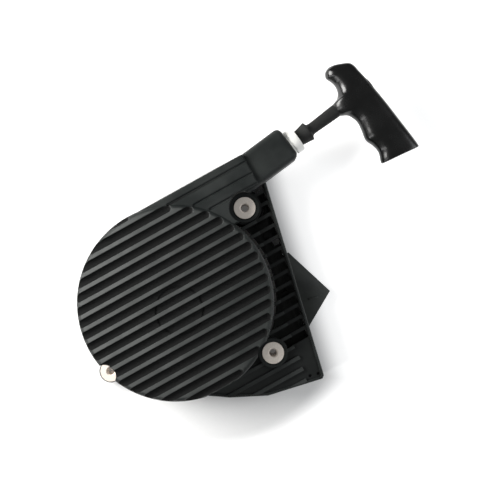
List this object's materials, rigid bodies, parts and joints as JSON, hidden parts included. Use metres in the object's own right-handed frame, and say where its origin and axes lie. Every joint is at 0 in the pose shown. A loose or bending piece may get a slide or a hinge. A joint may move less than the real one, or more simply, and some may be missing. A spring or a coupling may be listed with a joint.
{
  "type": "recoil starter",
  "caption": "Recoil starter with a ribbed fan housing, louvred mounting flange, rope neck with a white bush and a T-shaped pull handle; rotor, spring and pawls inside.",
  "frame": {"origin": "on the axis of the starter post, which is the crankshaft's axis, in the plane of the rim that meets the crankcase", "axes": "+Z along the post, out of the ribbed face; +X along the ribs, towards the rope neck and the handle; +Y across the ribs, towards the shoulder's side"},
  "size_m": [0.3301, 0.2263, 0.054],
  "materials": {
    "housing_plastic": "glass-filled nylon, satin, fine moulded texture",
    "guide_plastic": "plain moulded black plastic",
    "grip_plastic": "polished black",
    "stem_plastic": "matte black, slightly rubbery",
    "white_nylon": "natural white nylon, satin",
    "sleeve_steel": "turned, bright zinc",
    "bright_steel": "ground",
    "spring_steel": "blued, oiled",
    "screw_steel": "black oxide",
    "pawl_steel": "sintered",
    "rotor_plastic": "natural glass-filled nylon",
    "starter_rope": "braided polyester"
  },
  "bodies": {
    "housing": {"fan_housing": "housing_plastic", "air_guide": "guide_plastic", "air_guide_screws": "screw_steel", "starter_post": "bright_steel", "spring_cassette": "guide_plastic", "spring_cover": "guide_plastic", "cassette_screws": "screw_steel", "rewind_spring": "spring_steel", "rope_bush": "white_nylon", "boss_sleeves": "sleeve_steel", "lug_sleeve": "sleeve_steel", "thrust_washer": "bright_steel", "e_clip": "screw_steel"},
    "rotor": {"rope_rotor": "rotor_plastic", "rotor_bush": "bright_steel", "rope_coil": "starter_rope", "rotor_knot": "starter_rope", "pawl_pins": "bright_steel"},
    "pawl_a": {"pawl_a": "pawl_steel"},
    "pawl_b": {"pawl_b": "pawl_steel"},
    "clip": {"friction_clip": "spring_steel"},
    "rope_end": {"rope_run": "starter_rope", "handle_knot": "starter_rope", "knot_washer": "bright_steel"},
    "handle": {"grip": "grip_plastic", "stem_sleeve": "stem_plastic", "grip_cap": "grip_plastic"}
  },
  "joints": [
    {"name": "rope_pull", "type": "slide", "parent": "housing", "child": "rope_end", "axis": [0.9913, 0.1317, 0], "range_m": [0, 0.75], "stiffness_N_per_m": 25, "springref_m": -0.6, "deforming": ["rope_run"]},
    {"name": "rotor_spin", "type": "hinge", "parent": "housing", "child": "rotor", "pos_m": [0, 0, 0.0334], "axis": [0, 0, 1], "range_deg": [-1020, 0], "deforming": ["rewind_spring"]},
    {"name": "grip_turn", "type": "hinge", "parent": "rope_end", "child": "handle", "pos_m": [0.15502, 0.07037, 0.0334], "axis": [0.9913, 0.1317, 0], "range_deg": [-180, 180]},
    {"name": "pawl_a_swing", "type": "hinge", "parent": "rotor", "child": "pawl_a", "pos_m": [0.019, 0, 0.0258], "axis": [0, 0, 1], "range_deg": [0, 28]},
    {"name": "pawl_b_swing", "type": "hinge", "parent": "rotor", "child": "pawl_b", "pos_m": [-0.019, 0, 0.0258], "axis": [0, 0, 1], "range_deg": [0, 28]},
    {"name": "clip_drag", "type": "hinge", "parent": "rotor", "child": "clip", "pos_m": [0, 0, 0.0216], "axis": [0, 0, 1], "range_deg": [0, 6.7]}
  ],
  "couplings": [
    {"joint": "rotor_spin", "follows": "rope_pull", "rad_per_m": -23.641},
    {"joint": "pawl_b_swing", "follows": "pawl_a_swing", "ratio": 1},
    {"joint": "clip_drag", "follows": "pawl_a_swing", "ratio": 0.2361}
  ]
}
